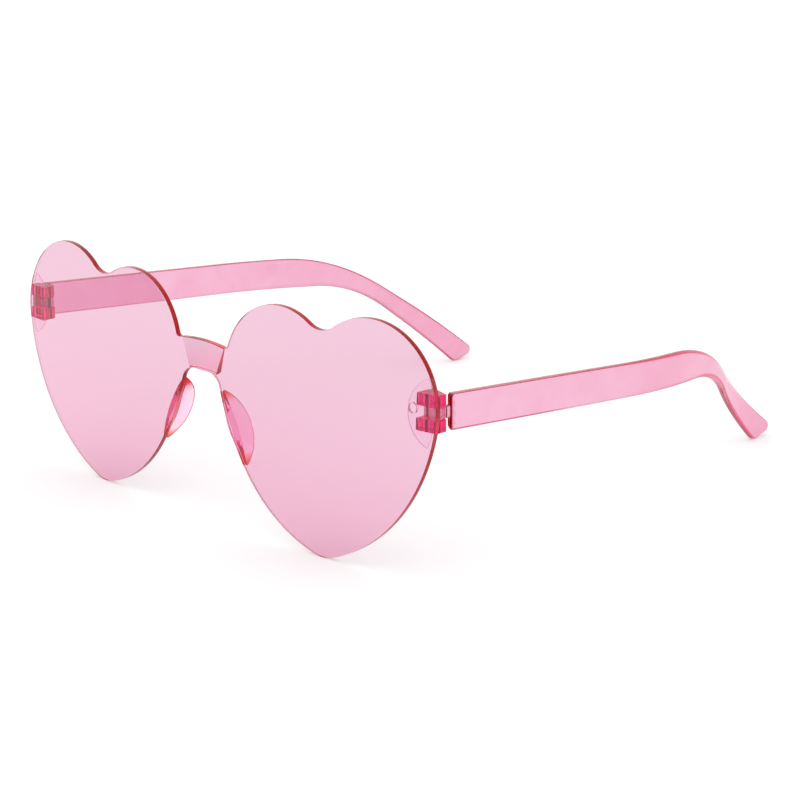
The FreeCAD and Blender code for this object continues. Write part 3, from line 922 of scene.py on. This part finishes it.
def turned_steel(name, dark, bright):
    material, nodes, links = nodes_of(name)
    output = nodes.new("ShaderNodeOutputMaterial")
    shader = add_node(nodes, "ShaderNodeBsdfPrincipled", {"Metallic": 1.0})
    links.new(shader.outputs["BSDF"], output.inputs["Surface"])
    place = nodes.new("ShaderNodeTexCoord")
    grain = add_node(nodes, "ShaderNodeTexNoise", {"Scale": 2500.0, "Detail": 4.0})
    links.new(place.outputs["Object"], grain.inputs["Vector"])
    tone = nodes.new("ShaderNodeValToRGB")
    tone.color_ramp.elements[0].color = dark
    tone.color_ramp.elements[1].color = bright
    links.new(grain.outputs["Fac"], tone.inputs["Fac"])
    links.new(tone.outputs["Color"], shader.inputs["Base Color"])
    rough = add_node(nodes, "ShaderNodeMapRange", {"To Min": 0.25, "To Max": 0.5})
    links.new(grain.outputs["Fac"], rough.inputs["Value"])
    links.new(rough.outputs["Result"], shader.inputs["Roughness"])
    return material


# The sheet's fade is painted shade: deeper pink towards the bottom, which stands for its own pink shadow on
# the floor seen through it
sheet_plastic = clear_plastic(
    "sheet_plastic", absorption=(0.012, 0.18, 0.12),
    skin=((0.835, 0.705, 0.79, 1), (0.865, 0.64, 0.76, 1)), fade=("Z", 50, 0), mottle=0.3,
    edge_shade_colour=(0.85, 0.22, 0.16, 1), frost=0.12,
)
bar_plastic = clear_plastic(
    "bar_plastic", absorption=(0.004, 0.11, 0.07),
    skin=((0.87, 0.605, 0.735, 1), (0.82, 0.45, 0.585, 1)), fade=("Y", -67, 74), mottle=1.6,
    edge_shade_colour=(0.5, 0.12, 0.2, 1), frost=0.12,
)
base_plastic = clear_plastic(
    "base_plastic", absorption=(0.004, 0.28, 0.10),
    skin=((0.99, 0.97, 0.98, 1), (0.685, 0.66, 0.59, 1)), fade=("Y", -69.0, -69.35), mottle=0.1,
    edge_shade_colour=(1.0, 0.06, 0.28, 1), frost=0.04,
)
pad_plastic = clear_plastic(
    "pad_plastic", absorption=(0.002, 0.10, 0.055),
    skin=((1.0, 0.8, 0.9, 1), (1.0, 0.76, 0.88, 1)), fade=("Z", 33, 16), mottle=0.5,
    edge_shade_colour=(0.85, 0.08, 0.015, 1), frost=0.06,
)
steel = turned_steel("turned_screw_steel", dark=(0.16, 0.13, 0.14, 1), bright=(0.42, 0.38, 0.39, 1))


def dress(obj, node, body, material):
    obj.data.materials.clear()
    obj.data.materials.append(material)
    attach(obj, body)
    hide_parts(node)


right_pad = mirrored(left_pad, "right_pad")
right_base = mirrored(left_base, "right_base")
right_screw = mirrored(left_screw, "right_screw")
right_temple = mirrored(left_temple, "right_bar")
dress(front, "front_lens", "front", sheet_plastic)
for side, pad, base, screw, temple in (
    ("left", left_pad, left_base, left_screw, left_temple),
    ("right", right_pad, right_base, right_screw, right_temple),
):
    dress(pad, side + "_nose_pad", "front", pad_plastic)
    dress(base, side + "_hinge_base", "front", base_plastic)
    dress(screw, side + "_hinge_screw", "front", steel)
    dress(temple, side + "_temple", side + "_temple_arm", bar_plastic)

# Floor, light and camera

FLOOR_HALF = 4.0
FLOOR_COLOUR = (0.8, 0.8, 0.8, 1)
FLOOR_GLOW = 0.36
SKY_PLAIN = 0.8
SKY_SEEN = 1.0
WHITE = (1, 1, 1, 1)


def seen_strength(nodes, links, plain, seen):
    """Strength for what is seen straight, through clear plastic or mirrored, and a plain one for the rest."""
    path = nodes.new("ShaderNodeLightPath")
    straight = add_math(nodes, "MAXIMUM", {})
    links.new(path.outputs["Is Camera Ray"], straight.inputs[0])
    links.new(path.outputs["Is Transmission Ray"], straight.inputs[1])
    either = add_math(nodes, "MAXIMUM", {})
    links.new(straight.outputs["Value"], either.inputs[0])
    links.new(path.outputs["Is Glossy Ray"], either.inputs[1])
    spread = add_node(nodes, "ShaderNodeMapRange", {"To Min": plain, "To Max": seen})
    links.new(either.outputs["Value"], spread.inputs["Value"])
    return spread.outputs["Result"]


floor = new_object(
    "floor",
    [(x * FLOOR_HALF, y * FLOOR_HALF, 0) for x, y in ((-1, -1), (1, -1), (1, 1), (-1, 1))],
    [(0, 1, 2, 3)],
)
paper, nodes, links = nodes_of("white_floor")
output = nodes.new("ShaderNodeOutputMaterial")
shader = add_node(nodes, "ShaderNodeBsdfPrincipled", {
    "Base Color": FLOOR_COLOUR, "Roughness": 0.9, "Specular IOR Level": 0.0, "Emission Color": WHITE,
})
links.new(seen_strength(nodes, links, 0.0, FLOOR_GLOW), shader.inputs["Emission Strength"])
links.new(shader.outputs["BSDF"], output.inputs["Surface"])
floor.data.materials.append(paper)

world = bpy.data.worlds.new("studio")
bpy.context.scene.world = world
world.use_nodes = True
nodes, links = world.node_tree.nodes, world.node_tree.links
sky = nodes["Background"]
sky.inputs["Color"].default_value = WHITE
links.new(seen_strength(nodes, links, SKY_PLAIN, SKY_SEEN), sky.inputs["Strength"])


def softbox(name, place, aim, size, power):
    lamp = bpy.data.lights.new(name, "AREA")
    lamp.size = size
    lamp.energy = power
    obj = bpy.data.objects.new(name, lamp)
    obj.location = place
    obj.rotation_euler = (Vector(aim) - Vector(place)).to_track_quat("-Z", "Y").to_euler()
    bpy.context.scene.collection.objects.link(obj)


softbox("top_softbox", place=(0.1, -0.1, 0.9), aim=(0, 0, 0), size=0.9, power=1.2)
softbox("side_softbox", place=(-0.9, -0.5, 0.6), aim=(0, 0, 0.02), size=0.7, power=0.8)

AZIMUTH = math.radians(45.2326)
ELEVATION = math.radians(16.5493)
ROLL = math.radians(-0.1789)
TARGET = row(26.0, 40.0, 26.188)
DISTANCE = 0.579298
FOCAL_PIXELS = 2437.63
IMAGE_PIXELS = 800
camera_data = bpy.data.cameras.new("camera")
camera_data.sensor_width = 36.0
camera_data.lens = camera_data.sensor_width * FOCAL_PIXELS / IMAGE_PIXELS
camera_data.clip_start = 0.01
camera = bpy.data.objects.new("camera", camera_data)
bpy.context.scene.collection.objects.link(camera)
back = Vector((
    math.sin(AZIMUTH) * math.cos(ELEVATION), -math.cos(AZIMUTH) * math.cos(ELEVATION), math.sin(ELEVATION),
))
level_right = Vector((math.cos(AZIMUTH), math.sin(AZIMUTH), 0))
level_up = back.cross(level_right)
right = level_right * math.cos(ROLL) + level_up * math.sin(ROLL)
up = level_up * math.cos(ROLL) - level_right * math.sin(ROLL)
turned = Matrix((right, up, back)).transposed()
camera.matrix_world = Matrix.Translation(TARGET + back * DISTANCE) @ turned.to_4x4()
bpy.context.scene.camera = camera

scene = bpy.context.scene
scene.view_settings.view_transform = "Standard"

# Light is mirrored many times inside the sheet before it leaves at a cut edge
BOUNCES = 96
scene.cycles.max_bounces = BOUNCES
scene.cycles.transmission_bounces = BOUNCES
scene.cycles.glossy_bounces = BOUNCES
